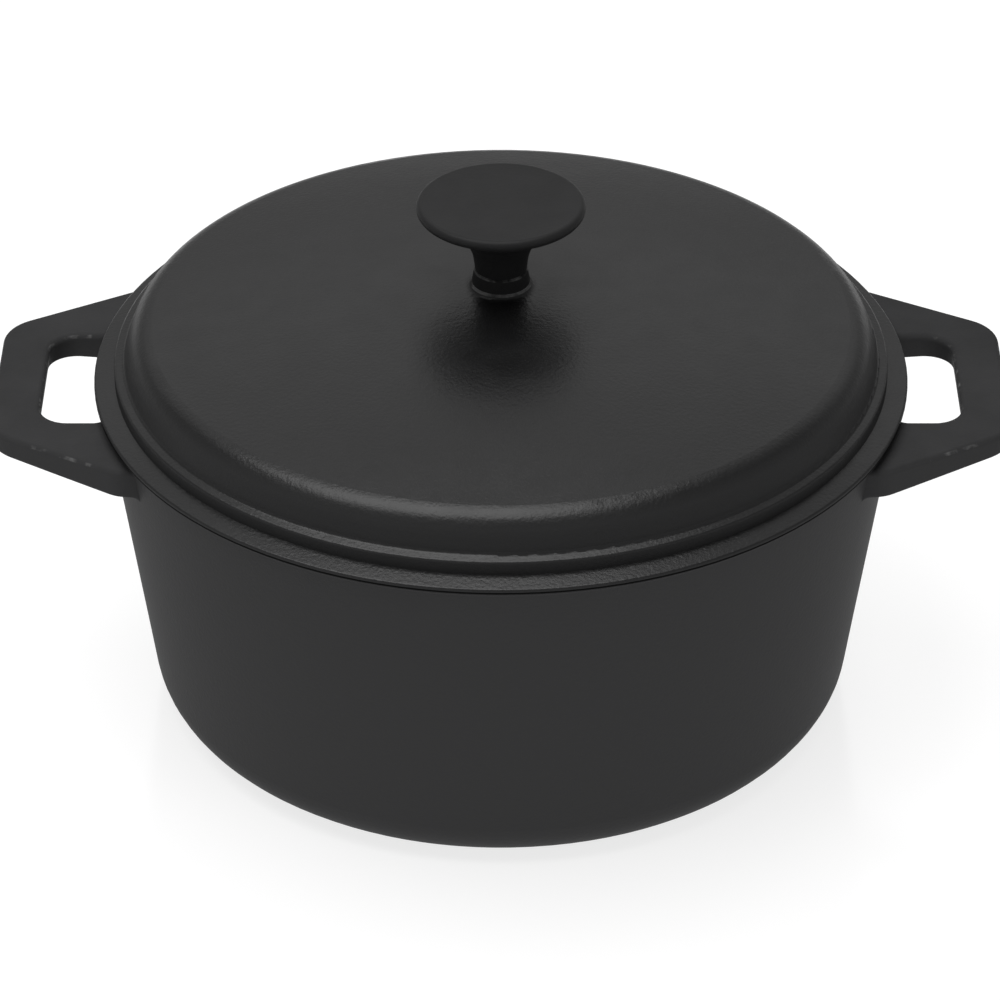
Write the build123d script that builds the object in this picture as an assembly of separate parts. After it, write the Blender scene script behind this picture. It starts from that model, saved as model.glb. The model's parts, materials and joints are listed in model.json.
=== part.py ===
from build123d import *
import math
import os

# A cast iron dutch oven: a tapered pot cast in one with its two loop handles, a crowned lid that
# lifts off, and a mushroom knob that a screw and two washers hold on the lid from below.
# Millimetres, +Z up. X runs through both handles, and the origin is the centre of the foot.

# Pot
POT_HEIGHT = 118.0            # foot to rim plane
POT_WALL_RADIUS = 132.9       # outside of the wall, carried up to the rim plane
POT_WALL_DRAFT = 7.9          # degrees, narrower towards the foot
POT_WALL_THICKNESS = 4.2
POT_BASE_THICKNESS = 4.8
POT_CORNER_RADIUS = 17.5      # outside, between base and wall
FOOT_RECESS_RADIUS = 86.0     # the middle of the base stands clear of the hob
FOOT_RECESS_DEPTH = 1.2
FOOT_RECESS_SLOPE = 1.5
FOOT_RECESS_FILLET = 1.0
RIM_LIP_OVERHANG = 0.9
RIM_LIP_HEIGHT = 1.6
RIM_EDGE_RADIUS = 0.6

# Handles, cast with the pot
HANDLE_DROP = 2.9             # rim plane down to the flat top of the handles
WINDOW_REACH = 19.1           # finger opening, from the wall at its top out to the grip
GRIP_WIDTH = 16.4             # the bar outside the finger opening
HANDLE_TIP_THICKNESS = 7.5
HANDLE_DRAFT = 4.6            # degrees, thicker towards the wall
HANDLE_TIP_HALF_WIDTH = 34.3
HANDLE_SIDE_ANGLE = 29.8      # degrees between a side of the handle and X
HANDLE_CORNER_RADIUS = 15.0
HANDLE_NECK = 5.6             # the sides turn parallel this far outside the wall
HANDLE_KNEE_RADIUS = 10.0     # of that turn
HANDLE_ROOT_RADIUS = 3.0      # underneath, where the handle runs out into the wall
HANDLE_ROOT_BITE = 0.1        # depth in the wall at which that round starts
HANDLE_TOP_EDGE_RADIUS = 1.9
HANDLE_BOTTOM_EDGE_RADIUS = 1.0
WINDOW_HALF_WIDTH = 27.4
WINDOW_CORNER_RADIUS = 9.5
WINDOW_ROOT_RADIUS = 4.0      # corners of the opening beside the wall
WINDOW_BITE = 0.3             # the opening stops this deep in the wall, with the wall's draft

# Lid
LID_CLEARANCE = 0.8           # all round, between the locating skirt and the inside of the rim
LID_OVERHANG = 1.2            # flange beyond the pot's lip
LID_EDGE_HEIGHT = 1.6
LID_EDGE_RADIUS = 0.8
FLANGE_WIDTH = 6.8
FLANGE_RISE = 1.3             # the flange climbs this much towards the step
STEP_HEIGHT = 4.4
STEP_WIDTH = 3.4
STEP_RISE = 0.9
STEP_EDGE_RADIUS = 0.9
LID_SIDE_DRAFT = 18.0         # degrees from upright
LID_SHOULDER_HEIGHT = 19.0    # where side and crown would meet if the shoulder were sharp
LID_SHOULDER_RADIUS = 10.5
LID_CROWN_HEIGHT = 32.5       # rim plane to the top of the crown
LID_THICKNESS = 4.2
LID_FOOT_FILLET = 1.5
SKIRT_DEPTH = 4.0
SKIRT_EDGE_RADIUS = 0.8
BOSS_HEIGHT = 2.0             # raised seat for the knob on the crown
BOSS_SPREAD = 1.2             # the boss is this much wider at its foot, all round
BOSS_FILLET = 3.0
BOSS_EDGE_RADIUS = 0.5
UNDER_BOSS_RADIUS = 10.0      # flat seat for the washer under the crown
UNDER_BOSS_HEIGHT = 1.0

# Basting nubs under the lid, in rings
NUB_RING_SPACING = 37.0
NUB_RINGS = 2
NUBS_PER_RING_STEP = 6        # 6 nubs in the first ring, 12 in the second and so on
NUB_RADIUS = 3.0
NUB_SINK = 0.4                # from the underside of the crown up to the centre of a nub's ball

# Knob
KNOB_HEIGHT = 29.4
KNOB_CAP_RADIUS = 27.7
KNOB_EDGE_RADIUS = 1.9
KNOB_DISH_DEPTH = 0.9
KNOB_UNDERSIDE_ANGLE = 31.0   # degrees from level
KNOB_FLARE_RADIUS = 15.0
KNOB_WAIST_RADIUS = 8.5       # just above the collar
KNOB_STEM_DRAFT = 7.0         # degrees from upright, wider towards the cap
KNOB_COLLAR_RADIUS = 9.6      # at the foot
KNOB_COLLAR_DRAFT = 9.5       # degrees from upright, narrower towards the waist
KNOB_COLLAR_HEIGHT = 4.6
KNOB_COLLAR_EDGE_RADIUS = 0.3

# Knob screw and washers
SCREW_RADIUS = 3.0
SCREW_TIP_CHAMFER = 0.6
THREAD_ENGAGEMENT = 12.0
THREAD_CLEARANCE = 0.05
HOLE_CLEARANCE = 0.3
KNOB_HOLE_RUN_OUT = 2.0       # the blind hole is this much deeper than the screw reaches
SCREW_HEAD_RADIUS = 6.0
SCREW_HEAD_HEIGHT = 4.2
SCREW_HEAD_EDGE_RADIUS = 2.6
SCREW_SLOT_WIDTH = 1.6
SCREW_SLOT_DEPTH = 2.0
WASHER_RADIUS = 8.5
WASHER_THICKNESS = 1.6
LOCK_WASHER_RADIUS = 5.9
LOCK_WASHER_THICKNESS = 1.6
LOCK_WASHER_SPLIT = 1.0
LOCK_WASHER_SPLIT_ANGLE = 20.0


def slope(angle):
    """Sideways run for each millimetre of height on a face that leans by this angle."""
    return math.tan(math.radians(angle))


def thickness_across(thickness, angle):
    """Level width of a wall of this thickness that leans by this angle."""
    return thickness / math.cos(math.radians(angle))


def pot_wall_radius(z):
    """Outside of the pot's wall at this height."""
    return POT_WALL_RADIUS - (POT_HEIGHT - z) * slope(POT_WALL_DRAFT)


# Sizes that follow from the driving ones
HANDLE_TOP_Z = POT_HEIGHT - HANDLE_DROP
GRIP_INSIDE_X = pot_wall_radius(HANDLE_TOP_Z) + WINDOW_REACH
HANDLE_HALF_SPAN = GRIP_INSIDE_X + GRIP_WIDTH
RIM_LIP_RADIUS = POT_WALL_RADIUS + RIM_LIP_OVERHANG
RIM_INSIDE_RADIUS = POT_WALL_RADIUS - thickness_across(POT_WALL_THICKNESS, POT_WALL_DRAFT)
LID_RADIUS = RIM_LIP_RADIUS + LID_OVERHANG
STEP_RADIUS = LID_RADIUS - FLANGE_WIDTH
STEP_FOOT_Z = POT_HEIGHT + LID_EDGE_HEIGHT + FLANGE_RISE
SIDE_FOOT_RADIUS = STEP_RADIUS - STEP_WIDTH
SIDE_FOOT_Z = STEP_FOOT_Z + STEP_HEIGHT + STEP_RISE
CROWN_Z = POT_HEIGHT + LID_CROWN_HEIGHT
CROWN_EDGE_Z = POT_HEIGHT + LID_SHOULDER_HEIGHT
UNDER_CROWN_Z = CROWN_Z - LID_THICKNESS
UNDER_EDGE_Z = CROWN_EDGE_Z - LID_THICKNESS
HOLE_RADIUS = SCREW_RADIUS + HOLE_CLEARANCE
BOSS_Z = CROWN_Z + BOSS_HEIGHT
UNDER_BOSS_Z = UNDER_CROWN_Z - UNDER_BOSS_HEIGHT
WASHER_Z = UNDER_BOSS_Z - WASHER_THICKNESS
LOCK_WASHER_Z = WASHER_Z - LOCK_WASHER_THICKNESS
SCREW_TIP_Z = BOSS_Z + THREAD_ENGAGEMENT


def turned(section):
    """The solid of revolution about Z of a section drawn as (radius, height)."""
    return revolve(Plane.XZ * section, Axis.Z)


def rounded(face, corners):
    """The face with each listed corner (two coordinates and a fillet) rounded off."""
    for x, y, radius in corners:
        corner = face.vertices().sort_by_distance((x, y))[0]
        face = fillet(corner, radius)
    return face


def pot_body():
    lip_z = POT_HEIGHT - RIM_LIP_HEIGHT
    wall_width = POT_WALL_RADIUS - RIM_INSIDE_RADIUS
    floor_z = FOOT_RECESS_DEPTH + POT_BASE_THICKNESS
    corners = [
        (0, FOOT_RECESS_DEPTH, 0),
        (FOOT_RECESS_RADIUS, FOOT_RECESS_DEPTH, FOOT_RECESS_FILLET),
        (FOOT_RECESS_RADIUS + FOOT_RECESS_SLOPE, 0, FOOT_RECESS_FILLET),
        (pot_wall_radius(0), 0, POT_CORNER_RADIUS),
        (pot_wall_radius(lip_z), lip_z, RIM_EDGE_RADIUS),
        (RIM_LIP_RADIUS, lip_z, RIM_EDGE_RADIUS),
        (RIM_LIP_RADIUS, POT_HEIGHT, RIM_EDGE_RADIUS),
        (RIM_INSIDE_RADIUS, POT_HEIGHT, RIM_EDGE_RADIUS),
        (pot_wall_radius(floor_z) - wall_width, floor_z, POT_CORNER_RADIUS - POT_WALL_THICKNESS),
        (0, floor_z, 0),
    ]
    points = [(x, z) for x, z, _ in corners]
    radii = [radius for _, _, radius in corners]
    return turned(make_face(FilletPolyline(*points, radius=radii, close=True)))


def handle_section():
    """Section of the handles on any radius: level on top, leaning below, rounded into the wall."""
    tip_z = HANDLE_TOP_Z - HANDLE_TIP_THICKNESS
    draft = slope(POT_WALL_DRAFT)
    lean = slope(HANDLE_DRAFT)
    root_radius = pot_wall_radius(tip_z - HANDLE_HALF_SPAN * lean) - HANDLE_ROOT_BITE
    root_radius = root_radius / (1 - draft * lean)
    root_z = tip_z - (HANDLE_HALF_SPAN - root_radius) * lean
    end_z = root_z - 2 * HANDLE_ROOT_RADIUS
    inner = (RIM_INSIDE_RADIUS + pot_wall_radius(end_z)) / 2
    reach = math.hypot(HANDLE_HALF_SPAN, HANDLE_TIP_HALF_WIDTH)
    outline = Polyline(
        (inner, HANDLE_TOP_Z),
        (reach, HANDLE_TOP_Z),
        (reach, tip_z + (reach - HANDLE_HALF_SPAN) * lean),
        (root_radius, root_z),
        (pot_wall_radius(end_z) - HANDLE_ROOT_BITE, end_z),
        (inner, end_z),
        close=True,
    )
    return rounded(make_face(outline), [(root_radius, root_z, HANDLE_ROOT_RADIUS)])


def handle_plan():
    """One handle from above, without its finger opening."""
    # a knee lies where a side's line, so far from the axis, crosses a circle around the wall
    side = math.radians(HANDLE_SIDE_ANGLE)
    side_distance = HANDLE_TIP_HALF_WIDTH * math.cos(side) + HANDLE_HALF_SPAN * math.sin(side)
    circle = pot_wall_radius(HANDLE_TOP_Z) + HANDLE_NECK
    azimuth = math.asin(side_distance / circle) - side
    knee_x = circle * math.cos(azimuth)
    knee_y = circle * math.sin(azimuth)
    start = RIM_INSIDE_RADIUS / 2
    outline = Polyline(
        (start, -knee_y),
        (knee_x, -knee_y),
        (HANDLE_HALF_SPAN, -HANDLE_TIP_HALF_WIDTH),
        (HANDLE_HALF_SPAN, HANDLE_TIP_HALF_WIDTH),
        (knee_x, knee_y),
        (start, knee_y),
        close=True,
    )
    corners = [
        (knee_x, -knee_y, HANDLE_KNEE_RADIUS),
        (knee_x, knee_y, HANDLE_KNEE_RADIUS),
        (HANDLE_HALF_SPAN, -HANDLE_TIP_HALF_WIDTH, HANDLE_CORNER_RADIUS),
        (HANDLE_HALF_SPAN, HANDLE_TIP_HALF_WIDTH, HANDLE_CORNER_RADIUS),
    ]
    return rounded(make_face(outline), corners)


def finger_opening():
    """The space of the finger opening, which widens downwards with the draft of the wall."""
    wall = pot_wall_radius(HANDLE_TOP_Z) - WINDOW_BITE
    inner_x = math.sqrt(wall ** 2 - WINDOW_HALF_WIDTH ** 2)
    outline = Polyline(
        (inner_x, WINDOW_HALF_WIDTH),
        (GRIP_INSIDE_X, WINDOW_HALF_WIDTH),
        (GRIP_INSIDE_X, -WINDOW_HALF_WIDTH),
        (inner_x, -WINDOW_HALF_WIDTH),
    )
    face = make_face([outline, ThreePointArc(outline @ 1, (wall, 0), outline @ 0)])
    corners = [
        (GRIP_INSIDE_X, -WINDOW_HALF_WIDTH, WINDOW_CORNER_RADIUS),
        (GRIP_INSIDE_X, WINDOW_HALF_WIDTH, WINDOW_CORNER_RADIUS),
        (inner_x, -WINDOW_HALF_WIDTH, WINDOW_ROOT_RADIUS),
        (inner_x, WINDOW_HALF_WIDTH, WINDOW_ROOT_RADIUS),
    ]
    face = Pos(0, 0, HANDLE_TOP_Z) * rounded(face, corners)
    above = extrude(face, HANDLE_DROP)
    below = extrude(face, HANDLE_TOP_Z, dir=(0, 0, -1), taper=-POT_WALL_DRAFT)
    return above + below


def free_edges(loop, towards):
    """Edges of the loop outside the wall that run level, above or below its middle height."""
    middle = HANDLE_TOP_Z - HANDLE_TIP_THICKNESS / 2
    edges = []
    for edge in loop.edges():
        point = edge @ 0.5
        course = edge % 0.5
        outside = math.hypot(point.X, point.Y) > POT_WALL_RADIUS
        level = abs(course.Z) < math.hypot(course.X, course.Y)
        if outside and level and (point.Z - middle) * towards > 0:
            edges.append(edge)
    return edges


def handle():
    """A flat cast loop, cut to its plan from the ring of its section, with its edges broken."""
    loop = turned(handle_section()) & extrude(handle_plan(), POT_HEIGHT)
    loop -= finger_opening()
    loop = fillet(free_edges(loop, 1), HANDLE_TOP_EDGE_RADIUS)
    return fillet(free_edges(loop, -1), HANDLE_BOTTOM_EDGE_RADIUS)


def pot():
    loop = handle()
    return pot_body() + loop + loop.mirror(Plane.YZ)


def dome_height(radius, apex_z, edge_radius, edge_z):
    """Height, at this radius, of the round dome, or dish, through its apex and its edge."""
    drop = apex_z - edge_z
    sphere = (edge_radius ** 2 + drop ** 2) / (2 * drop)
    return apex_z - sphere + math.copysign(math.sqrt(sphere ** 2 - radius ** 2), sphere)


def dome_arc(start_radius, apex_z, edge_radius, edge_z):
    """The section of a dome, or dish, from its edge in to the start radius."""
    middle = (start_radius + edge_radius) / 2
    return ThreePointArc(
        (edge_radius, edge_z),
        (middle, dome_height(middle, apex_z, edge_radius, edge_z)),
        (start_radius, dome_height(start_radius, apex_z, edge_radius, edge_z)),
    )


def lid_side_radius(z):
    return SIDE_FOOT_RADIUS - (z - SIDE_FOOT_Z) * slope(LID_SIDE_DRAFT)


def lid_inside_radius(z):
    return lid_side_radius(z) - thickness_across(LID_THICKNESS, LID_SIDE_DRAFT)


def lid_body():
    """The turned part of the lid: crown, side, step, flange and skirt, about the screw hole."""
    boss = KNOB_COLLAR_RADIUS
    crown_edge = lid_side_radius(CROWN_EDGE_Z)
    crown = dome_arc(boss + BOSS_SPREAD, CROWN_Z, crown_edge, CROWN_EDGE_Z)
    under_edge = lid_inside_radius(UNDER_EDGE_Z)
    under_crown = dome_arc(UNDER_BOSS_RADIUS, UNDER_CROWN_Z, under_edge, UNDER_EDGE_Z)
    skirt_inside = lid_inside_radius(POT_HEIGHT)
    skirt_outside = RIM_INSIDE_RADIUS - LID_CLEARANCE
    skirt_z = POT_HEIGHT - SKIRT_DEPTH
    flange_z = POT_HEIGHT + LID_EDGE_HEIGHT
    step_z = STEP_FOOT_Z + STEP_HEIGHT

    outside = Polyline(
        crown @ 1,
        (boss, BOSS_Z),
        (HOLE_RADIUS, BOSS_Z),
        (HOLE_RADIUS, UNDER_BOSS_Z),
        (UNDER_BOSS_RADIUS, UNDER_BOSS_Z),
        under_crown @ 1,
    )
    inside = Polyline(
        under_crown @ 0,
        (skirt_inside, POT_HEIGHT),
        (skirt_inside, skirt_z),
        (skirt_outside, skirt_z),
        (skirt_outside, POT_HEIGHT),
        (LID_RADIUS, POT_HEIGHT),
        (LID_RADIUS, flange_z),
        (STEP_RADIUS, STEP_FOOT_Z),
        (STEP_RADIUS, step_z),
        (SIDE_FOOT_RADIUS, SIDE_FOOT_Z),
        crown @ 0,
    )
    section = make_face([crown, outside, under_crown, inside])
    corners = [
        (crown_edge, CROWN_EDGE_Z, LID_SHOULDER_RADIUS),
        (under_edge, UNDER_EDGE_Z, LID_SHOULDER_RADIUS - LID_THICKNESS),
        ((crown @ 1).X, (crown @ 1).Y, BOSS_FILLET),
        (boss, BOSS_Z, BOSS_EDGE_RADIUS),
        (skirt_inside, skirt_z, SKIRT_EDGE_RADIUS),
        (skirt_outside, skirt_z, SKIRT_EDGE_RADIUS),
        (LID_RADIUS, flange_z, LID_EDGE_RADIUS),
        (STEP_RADIUS, step_z, STEP_EDGE_RADIUS),
        (SIDE_FOOT_RADIUS, SIDE_FOOT_Z, LID_FOOT_FILLET),
    ]
    return turned(rounded(section, corners))


def nubs():
    """Round nubs under the crown, in rings, from which condensed steam drips back."""
    balls = []
    under_edge = lid_inside_radius(UNDER_EDGE_Z)
    for number in range(1, NUB_RINGS + 1):
        radius = number * NUB_RING_SPACING
        crown_z = dome_height(radius, UNDER_CROWN_Z, under_edge, UNDER_EDGE_Z)
        ball = Pos(0, 0, crown_z + NUB_SINK) * Sphere(NUB_RADIUS)
        balls += [place * ball for place in PolarLocations(radius, number * NUBS_PER_RING_STEP)]
    return balls


def lid():
    return lid_body() + nubs()


def knob():
    """A mushroom knob: collar, waist and a flare out to a wide dished cap, over a blind tapped hole."""
    top_z = BOSS_Z + KNOB_HEIGHT
    lean = math.radians(KNOB_UNDERSIDE_ANGLE)
    cap_centre = KNOB_CAP_RADIUS - KNOB_EDGE_RADIUS
    edge_z = top_z - KNOB_EDGE_RADIUS
    edge = ThreePointArc(
        (cap_centre + KNOB_EDGE_RADIUS * math.sin(lean), edge_z - KNOB_EDGE_RADIUS * math.cos(lean)),
        (KNOB_CAP_RADIUS, edge_z),
        (cap_centre, top_z),
    )
    dish = dome_arc(0, top_z - KNOB_DISH_DEPTH, cap_centre, top_z)
    collar_z = BOSS_Z + KNOB_COLLAR_HEIGHT
    # the stem and the underside of the cap, both straight, meet at the flare
    stem_lean = slope(KNOB_STEM_DRAFT)
    underside_rise = (edge @ 0).Y - collar_z - ((edge @ 0).X - KNOB_WAIST_RADIUS) * math.tan(lean)
    flare_rise = underside_rise / (1 - stem_lean * math.tan(lean))
    flare_radius = KNOB_WAIST_RADIUS + flare_rise * stem_lean
    flare_z = collar_z + flare_rise
    collar_top_radius = KNOB_COLLAR_RADIUS - KNOB_COLLAR_HEIGHT * slope(KNOB_COLLAR_DRAFT)
    hole = SCREW_RADIUS + THREAD_CLEARANCE
    hole_z = SCREW_TIP_Z + KNOB_HOLE_RUN_OUT
    outline = Polyline(
        (0, top_z - KNOB_DISH_DEPTH),
        (0, hole_z),
        (hole, hole_z),
        (hole, BOSS_Z),
        (KNOB_COLLAR_RADIUS, BOSS_Z),
        (collar_top_radius, collar_z),
        (KNOB_WAIST_RADIUS, collar_z),
        (flare_radius, flare_z),
        edge @ 0,
    )
    corners = [
        (collar_top_radius, collar_z, KNOB_COLLAR_EDGE_RADIUS),
        (flare_radius, flare_z, KNOB_FLARE_RADIUS),
    ]
    return turned(rounded(make_face([edge, dish, outline]), corners))


def knob_screw():
    """A slotted pan head screw, pointing up, with its head below the lock washer."""
    head_z = LOCK_WASHER_Z - SCREW_HEAD_HEIGHT
    outline = Polyline(
        (0, head_z),
        (SCREW_HEAD_RADIUS, head_z),
        (SCREW_HEAD_RADIUS, LOCK_WASHER_Z),
        (SCREW_RADIUS, LOCK_WASHER_Z),
        (SCREW_RADIUS, SCREW_TIP_Z - SCREW_TIP_CHAMFER),
        (SCREW_RADIUS - SCREW_TIP_CHAMFER, SCREW_TIP_Z),
        (0, SCREW_TIP_Z),
        close=True,
    )
    screw = turned(rounded(make_face(outline), [(SCREW_HEAD_RADIUS, head_z, SCREW_HEAD_EDGE_RADIUS)]))
    slot = Box(2 * SCREW_HEAD_RADIUS, SCREW_SLOT_WIDTH, 2 * SCREW_SLOT_DEPTH)
    return screw - Pos(0, 0, head_z) * slot


def ring(outer_radius, thickness, z):
    """A flat ring around the screw with its lower face at this height."""
    face = Circle(outer_radius) - Circle(HOLE_RADIUS)
    return Pos(0, 0, z) * extrude(face, thickness)


def knob_washer():
    return ring(WASHER_RADIUS, WASHER_THICKNESS, WASHER_Z)


def lock_washer():
    """A spring ring pressed flat, cut through once on the slant."""
    washer = ring(LOCK_WASHER_RADIUS, LOCK_WASHER_THICKNESS, LOCK_WASHER_Z)
    split = Box(LOCK_WASHER_RADIUS, LOCK_WASHER_SPLIT, 2 * LOCK_WASHER_RADIUS)
    split = Rot(LOCK_WASHER_SPLIT_ANGLE, 0, 0) * split
    return washer - Pos(LOCK_WASHER_RADIUS, 0, LOCK_WASHER_Z + LOCK_WASHER_THICKNESS / 2) * split


def main():
    os.makedirs("parts", exist_ok=True)
    for piece in (pot, lid, knob, knob_screw, knob_washer, lock_washer):
        export_step(piece(), f"parts/{piece.__name__}.step")


main()
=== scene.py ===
"""Looks, light and camera for a seasoned cast iron dutch oven. Metres, in the frame of the CAD."""

import json
import math
from collections import namedtuple

import bpy
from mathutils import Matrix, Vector


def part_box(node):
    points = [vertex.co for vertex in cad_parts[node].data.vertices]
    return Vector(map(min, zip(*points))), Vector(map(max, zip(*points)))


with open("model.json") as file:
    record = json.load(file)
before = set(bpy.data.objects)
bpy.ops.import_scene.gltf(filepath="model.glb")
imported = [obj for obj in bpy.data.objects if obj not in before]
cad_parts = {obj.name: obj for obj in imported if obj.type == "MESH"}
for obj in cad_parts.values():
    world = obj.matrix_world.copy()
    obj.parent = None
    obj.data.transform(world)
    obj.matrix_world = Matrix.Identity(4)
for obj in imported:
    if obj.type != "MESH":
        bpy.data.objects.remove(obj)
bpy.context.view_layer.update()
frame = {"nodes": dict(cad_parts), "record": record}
nodes = frame["nodes"]

# One rubbed edge, painted lighter both as bare iron and as a painted highlight: the heights it lies
# between, its least distance from the axis, and the noise level above which the iron is bare and
# painted light, lower for a longer rub.
RubbedEdgeGlint = namedtuple("RubbedEdgeGlint", "low high least_reach bare_above")

# The extra outward fall that the light sees on a ring, between two distances from the axis.
RingFall = namedtuple("RingFall", "inner outer drop")

# Places on the pot. Heights count from the rim, distances from the axis.

RIM_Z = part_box("pot")[1].z
LID_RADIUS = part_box("lid")[1].x
KNOB_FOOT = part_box("knob")[0].z - RIM_Z
COLLAR_HEIGHT = 0.0046
COLLAR_EDGE = KNOB_FOOT + COLLAR_HEIGHT
HANDLE_TOP = -0.0029
HANDLE_REACH = LID_RADIUS + 0.006
RING_WIDTH = 0.0125
RING_DROP = 0.0013

# The skin that all the iron has. Sizes are those of the lumps, and a spread is to each side.

TONE_SIZE = 0.030
TONE_SPREAD = 0.12
GLOSS_SIZE = 0.012
GLOSS_SPREAD = 0.03
SWELL_SIZE = 0.009
GRAIN_SIZE = 0.0013
NOISE_LOW = 0.3
NOISE_HIGH = 0.7

# Steep faces have a duller skin, and a lighter colour painted on in place of the light that the
# duller skin no longer reflects. The first two are the upward part of a face's normal.

LEVEL_ENOUGH = 0.80
FULLY_STEEP = 0.50
SIDE_SPECULAR = 0.10
SIDE_ROUGHNESS = 0.56

# Painted shade: a dark line painted where the lid meets the rim, in place of the shadow in the gap,
# with its shine turned down too. It leaves out the seat itself, at height 0, so that the rim isn't
# black when the lid is lifted.

PAINTED_GAP_SHADE = (0.004, 0.004, 0.004)
PAINTED_GAP_SHADE_SPECULAR = 0.02
PAINTED_GAP_SHADE_START = 0.00002
PAINTED_GAP_SHADE_END = 0.0008
PAINTED_GAP_SHADE_FADE = 0.00015

# Rubbed edges, painted lighter: bare iron and painted highlights (glints) in one.

WORN_AND_GLINT = (0.13, 0.13, 0.13)
RUB_GLINT_SIZE = 0.0060
RUB_GLINT_FADE = 0.17
RUB_GLINT_EDGE_FADE = 0.0002
RUB_GLINT_REACH_FADE = 0.0005

# Each iron's side colour, lighter than its own colour, is painted light on steep faces.
# The rubbed edges below are painted lighter, as bare iron and as painted highlights.
IRONS = {
    "pot_iron": dict(
        colour=(0.0400, 0.0400, 0.0408),
        side_painted_light_colour=(0.0450, 0.0450, 0.0458),
        specular=0.03,
        roughness=0.56,
        swell_depth=0.00005,
        grain_depth=0.000130,
        rubbed_glint=RubbedEdgeGlint(HANDLE_TOP - 0.0014, HANDLE_TOP - 0.0003, HANDLE_REACH, 0.53),
    ),
    "lid_iron": dict(
        colour=(0.0065, 0.0065, 0.0067),
        side_painted_light_colour=(0.0280, 0.0280, 0.0284),
        specular=0.40,
        roughness=0.33,
        swell_depth=0.00004,
        grain_depth=0.000125,
        rubbed_glint=RubbedEdgeGlint(KNOB_FOOT - 0.0010, KNOB_FOOT + 0.0003, 0, 0.36),
        fall=RingFall(LID_RADIUS - RING_WIDTH, LID_RADIUS, RING_DROP),
    ),
    "knob_iron": dict(
        colour=(0.0175, 0.0175, 0.0178),
        side_painted_light_colour=(0.0200, 0.0200, 0.0204),
        specular=0.14,
        roughness=0.46,
        swell_depth=0.00003,
        grain_depth=0.000060,
        rubbed_glint=RubbedEdgeGlint(COLLAR_EDGE - 0.0007, COLLAR_EDGE + 0.0004, 0, 0.40),
    ),
}

STEEL_COLOUR = (0.50, 0.50, 0.51)
STEEL_DARKEST = 0.85
STEEL_TONE_SIZE = 0.004
STEEL_GLOSS_SIZE = 0.002
STEEL_GRAIN_SIZE = 0.0006
STEEL_GRAIN_DEPTH = 0.000004
STEEL_ROUGHNESS = (0.28, 0.42)

# The floor glows by itself, less beyond what the camera sees.

FLOOR_SIZE = 30
FLOOR_COLOUR = (0.34, 0.34, 0.34, 1)
FLOOR_ROUGHNESS = 0.16
FLOOR_SPECULAR = 0.5
GLOW_NEAR = 0.77
GLOW_FAR = 0.35
GLOW_FADE = (0.6, 1.4)

# The sky is brighter high up behind the pot. The spans are of a direction's parts: SKY_HEIGHT of
# its upward part and SKY_DEPTH of the part that points away from the camera.

SKY_LOW = 0.28
SKY_HIGH = 0.88
SKY_HEIGHT = (0.18, 0.60)
SKY_DEPTH = (0.35, 0.80)

SOFTBOX_PLACE = (-0.3, -0.10, 1.5)
SOFTBOX_AIM = (-0.3, -0.10, 0)
SOFTBOX_SIZE = (1.4, 1.14)
SOFTBOX_POWER = 17

CAMERA_DISTANCE = 1.6
CAMERA_ELEVATION = 31.0
CAMERA_PITCH = 32.55
CAMERA_OFFSET = -0.0003
CAMERA_LENS = 173.0
SENSOR_WIDTH = 36


# Node helpers

def set_input(tree, socket, value):
    """Link another node's output to an input, or set the input to a plain value."""
    if isinstance(value, bpy.types.NodeSocket):
        tree.links.new(value, socket)
    else:
        socket.default_value = value


def add_node(tree, kind, settings=(), inputs=()):
    node = tree.nodes.new(kind)
    for name, value in dict(settings).items():
        setattr(node, name, value)
    for name, value in dict(inputs).items():
        set_input(tree, node.inputs[name], value)
    return node


def product(tree, first, second):
    node = add_node(tree, "ShaderNodeMath", {"operation": "MULTIPLY"}, {0: first, 1: second})
    return node.outputs[0]


def map_range(tree, value, low, high, to_low, to_high, interpolation="LINEAR"):
    """A change from one level to another while the value goes from low to high."""
    inputs = {"Value": value, "From Min": low, "From Max": high,
              "To Min": to_low, "To Max": to_high}
    node = add_node(tree, "ShaderNodeMapRange", {"interpolation_type": interpolation}, inputs)
    return node.outputs["Result"]


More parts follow.
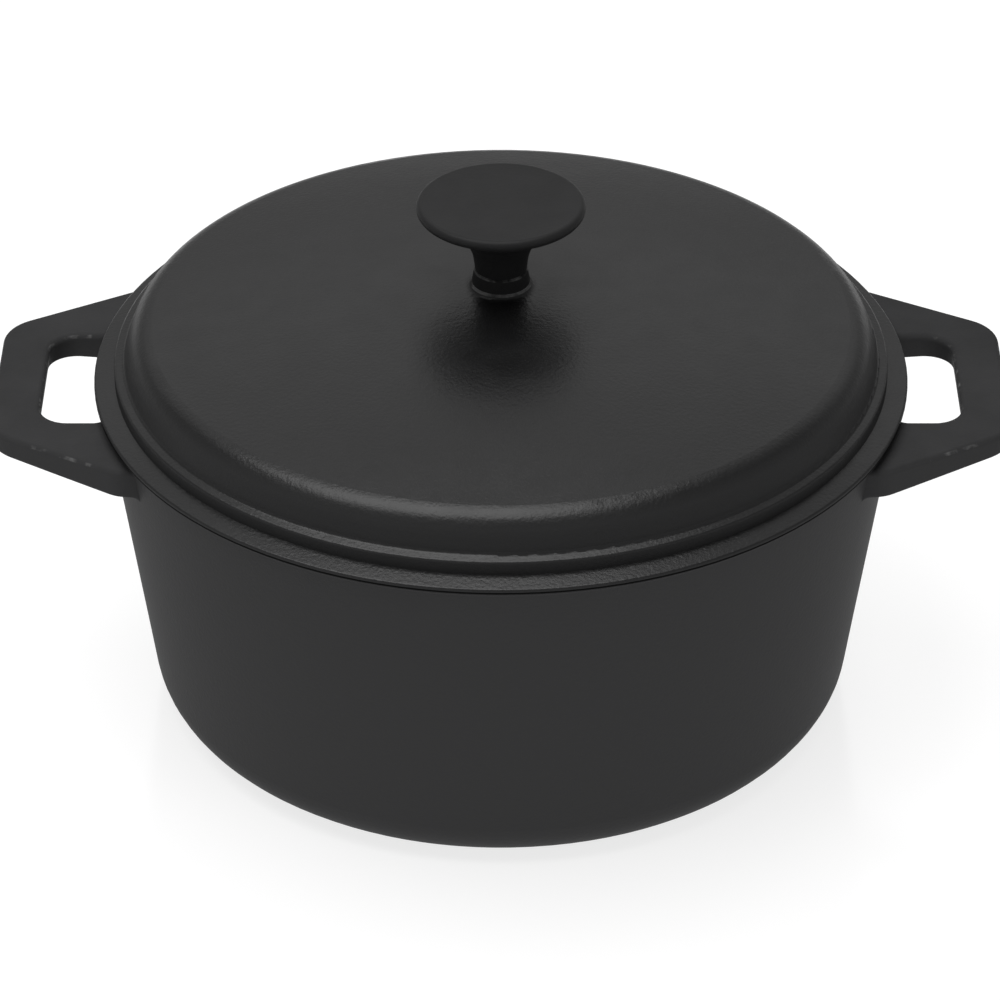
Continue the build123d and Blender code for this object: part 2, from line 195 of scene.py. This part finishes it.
class Nodes:
    """A short way to build one material's node tree."""

    def __init__(self, name):
        self.material = bpy.data.materials.new(name)
        self.material.use_nodes = True
        self.tree = self.material.node_tree
        self.shader = self.tree.nodes["Principled BSDF"]
        coordinates = self.add("ShaderNodeTexCoord")
        self.place = coordinates.outputs["Object"]
        self.normal = coordinates.outputs["Normal"]

    def add(self, kind, settings=(), inputs=()):
        return add_node(self.tree, kind, settings, inputs)

    def feed(self, name, value):
        set_input(self.tree, self.shader.inputs[name], value)

    def mapped(self, value, low, high, to_low=0.0, to_high=1.0):
        return map_range(self.tree, value, low, high, to_low, to_high)

    def product(self, first, second):
        return product(self.tree, first, second)

    def noise(self, size, detail=2.0, roughness=0.5):
        """Soft noise, 0 to 1, whose lumps are about this size in metres."""
        inputs = {"Vector": self.place, "Scale": 1 / size, "Detail": detail, "Roughness": roughness}
        return self.add("ShaderNodeTexNoise", inputs=inputs).outputs["Fac"]

    def blend(self, factor, first, second):
        """A colour between two, by a factor of 0 to 1."""
        node = self.add("ShaderNodeMix", {"data_type": "RGBA"}, {"Factor": factor})
        for name, value in (("A", first), ("B", second)):
            colour = (*value, 1) if isinstance(value, tuple) else value
            set_input(self.tree, node.inputs[name], colour)
        return node.outputs["Result"]

    def level(self):
        """How far a point is above the rim of the pot."""
        parts = self.add("ShaderNodeSeparateXYZ", inputs={0: self.place})
        inputs = {0: parts.outputs["Z"], 1: RIM_Z}
        return self.add("ShaderNodeMath", {"operation": "SUBTRACT"}, inputs).outputs[0]

    def reach(self):
        """How far a point is from the axis of the pot."""
        inputs = {0: self.place, 1: (1, 1, 0)}
        flat = self.add("ShaderNodeVectorMath", {"operation": "MULTIPLY"}, inputs).outputs[0]
        length = self.add("ShaderNodeVectorMath", {"operation": "LENGTH"}, {0: flat})
        return length.outputs["Value"]

    def steepness(self):
        """0 where a face lies nearly level and 1 where it is steep or looks down."""
        parts = self.add("ShaderNodeSeparateXYZ", inputs={0: self.normal})
        return self.mapped(parts.outputs["Z"], LEVEL_ENOUGH, FULLY_STEEP)

    def band(self, value, low, high, fade):
        """1 where a value is between two limits, with soft ends, and 0 elsewhere."""
        rise = self.mapped(value, low, low + fade)
        fall = self.mapped(value, high - fade, high, 1.0, 0.0)
        return self.product(rise, fall)

    def bump(self, height, depth, under=None):
        """A bump of this depth in metres over a height of 0 to 1, on top of another bump."""
        inputs = {"Height": height, "Distance": depth, "Strength": 1.0}
        if under is not None:
            inputs["Normal"] = under
        return self.add("ShaderNodeBump", inputs=inputs).outputs["Normal"]


# Materials

def painted_seat_shade(iron):
    """1 in the shadow gap between the lid and the rim, where dark shade is painted."""
    apart = iron.add("ShaderNodeMath", {"operation": "ABSOLUTE"}, {0: iron.level()}).outputs[0]
    return iron.band(apart, PAINTED_GAP_SHADE_START, PAINTED_GAP_SHADE_END, PAINTED_GAP_SHADE_FADE)


def rubbed_glint_spots(iron, edge):
    """1 where a rubbed edge has lost its black film and a painted highlight is laid on it."""
    height = iron.band(iron.level(), edge.low, edge.high, RUB_GLINT_EDGE_FADE)
    patches = iron.noise(RUB_GLINT_SIZE, detail=3.0, roughness=0.6)
    bare_and_glint = iron.mapped(patches, edge.bare_above, edge.bare_above + RUB_GLINT_FADE)
    outside = iron.mapped(iron.reach(), edge.least_reach, edge.least_reach + RUB_GLINT_REACH_FADE)
    return iron.product(iron.product(height, bare_and_glint), outside)


def seasoned_iron(name, colour, side_painted_light_colour, specular, roughness, swell_depth, grain_depth,
                  rubbed_glint, fall=None):
    """Black seasoned cast iron: a fine pebbled casting skin under a baked oil film."""
    iron = Nodes(name)
    steep = iron.steepness()
    gap_shade = painted_seat_shade(iron)

    clouds = iron.noise(TONE_SIZE, detail=4.0, roughness=0.6)
    tone = iron.mapped(clouds, NOISE_LOW, NOISE_HIGH)
    dark = tuple((1 - TONE_SPREAD) * c for c in colour)
    light = tuple((1 + TONE_SPREAD) * c for c in colour)
    # Painted light: steep faces take the lighter side colour, standing in for reflected light.
    skin = iron.blend(steep, iron.blend(tone, dark, light), side_painted_light_colour)
    # Painted shade: the skin turns near black in the gap between the lid and the rim.
    skin = iron.blend(gap_shade, skin, PAINTED_GAP_SHADE)
    # Painted highlights: rubbed spots turn the colour lighter, as bare iron and as glints on the
    # edges.
    iron.feed("Base Color", iron.blend(rubbed_glint_spots(iron, rubbed_glint), skin, WORN_AND_GLINT))

    smears = iron.noise(GLOSS_SIZE, detail=3.0, roughness=0.6)
    gloss = iron.mapped(smears, NOISE_LOW, NOISE_HIGH,
                        roughness - GLOSS_SPREAD, roughness + GLOSS_SPREAD)
    iron.feed("Roughness", iron.mapped(steep, 0.0, 1.0, gloss, SIDE_ROUGHNESS))
    shine = iron.mapped(steep, 0.0, 1.0, specular, min(specular, SIDE_SPECULAR))
    # The painted shade in the gap also loses its shine.
    iron.feed("Specular IOR Level", iron.mapped(gap_shade, 0.0, 1.0, shine, PAINTED_GAP_SHADE_SPECULAR))

    ring = None
    if fall:
        ring = iron.bump(iron.mapped(iron.reach(), fall.inner, fall.outer, 1.0, 0.0), fall.drop)
    swell = iron.bump(iron.noise(SWELL_SIZE, detail=1.0), swell_depth, ring)
    pebbles = iron.noise(GRAIN_SIZE, detail=2.5, roughness=0.6)
    iron.feed("Normal", iron.bump(pebbles, grain_depth, swell))
    return iron.material


def plated_steel(name, colour):
    """Plain zinc-plated steel of the fasteners."""
    steel = Nodes(name)
    dark = tuple(STEEL_DARKEST * c for c in colour)
    tone = steel.noise(STEEL_TONE_SIZE, detail=3.0, roughness=0.6)
    steel.feed("Base Color", steel.blend(tone, dark, colour))
    steel.feed("Metallic", 1.0)
    gloss = steel.noise(STEEL_GLOSS_SIZE)
    steel.feed("Roughness", steel.mapped(gloss, NOISE_LOW, NOISE_HIGH, *STEEL_ROUGHNESS))
    grain = steel.noise(STEEL_GRAIN_SIZE, detail=1.0)
    steel.feed("Normal", steel.bump(grain, STEEL_GRAIN_DEPTH))
    return steel.material


def dress():
    """Give every piece of the part the material that its record names."""
    materials = {name: seasoned_iron(name, **look) for name, look in IRONS.items()}
    materials["fastener_steel"] = plated_steel("fastener_steel", STEEL_COLOUR)
    for subpart in frame["record"]["subparts"]:
        for slot in nodes[subpart["node"]].material_slots:
            slot.material = materials[subpart["material_slot"]]


# The floor, the studio and the camera

def white_floor():
    bpy.ops.mesh.primitive_plane_add(size=FLOOR_SIZE, location=(0, 0, 0))
    floor = bpy.context.object
    floor.name = "floor"
    white = Nodes("floor_white")
    white.feed("Base Color", FLOOR_COLOUR)
    white.feed("Roughness", FLOOR_ROUGHNESS)
    white.feed("Specular IOR Level", FLOOR_SPECULAR)
    white.feed("Emission Color", (1, 1, 1, 1))
    white.feed("Emission Strength", white.mapped(white.reach(), *GLOW_FADE, GLOW_NEAR, GLOW_FAR))
    floor.data.materials.append(white.material)


def sky():
    world = bpy.data.worlds.new("studio")
    bpy.context.scene.world = world
    world.use_nodes = True
    tree = world.node_tree
    direction = add_node(tree, "ShaderNodeTexCoord").outputs["Generated"]
    parts = add_node(tree, "ShaderNodeSeparateXYZ", inputs={0: direction}).outputs
    height = map_range(tree, parts["Z"], *SKY_HEIGHT, 0.0, 1.0, "SMOOTHSTEP")
    depth = map_range(tree, parts["Y"], *SKY_DEPTH, 0.0, 1.0, "SMOOTHSTEP")
    both = product(tree, height, depth)
    background = tree.nodes["Background"].inputs
    set_input(tree, background["Color"], (1, 1, 1, 1))
    strength = map_range(tree, both, 0.0, 1.0, SKY_LOW, SKY_HIGH, "SMOOTHSTEP")
    set_input(tree, background["Strength"], strength)


def softbox():
    lamp = bpy.data.lights.new("softbox", "AREA")
    lamp.shape = "RECTANGLE"
    lamp.size, lamp.size_y = SOFTBOX_SIZE
    lamp.energy = SOFTBOX_POWER
    holder = bpy.data.objects.new("softbox", lamp)
    holder.location = SOFTBOX_PLACE
    toward = Vector(SOFTBOX_AIM) - Vector(SOFTBOX_PLACE)
    holder.rotation_euler = toward.to_track_quat("-Z", "Y").to_euler()
    bpy.context.scene.collection.objects.link(holder)


def camera():
    lens = bpy.data.cameras.new("camera")
    lens.sensor_width = SENSOR_WIDTH
    lens.lens = CAMERA_LENS
    holder = bpy.data.objects.new("camera", lens)
    rim = Vector((0, 0, RIM_Z))
    elevation = math.radians(CAMERA_ELEVATION)
    reach = Vector((0, -math.cos(elevation), math.sin(elevation)))
    holder.location = rim + CAMERA_DISTANCE * reach + Vector((CAMERA_OFFSET, 0, 0))
    holder.rotation_euler = (math.pi / 2 - math.radians(CAMERA_PITCH), 0, 0)
    bpy.context.scene.collection.objects.link(holder)
    bpy.context.scene.camera = holder


dress()
white_floor()
sky()
softbox()
camera()
bpy.context.scene.view_settings.view_transform = "Standard"
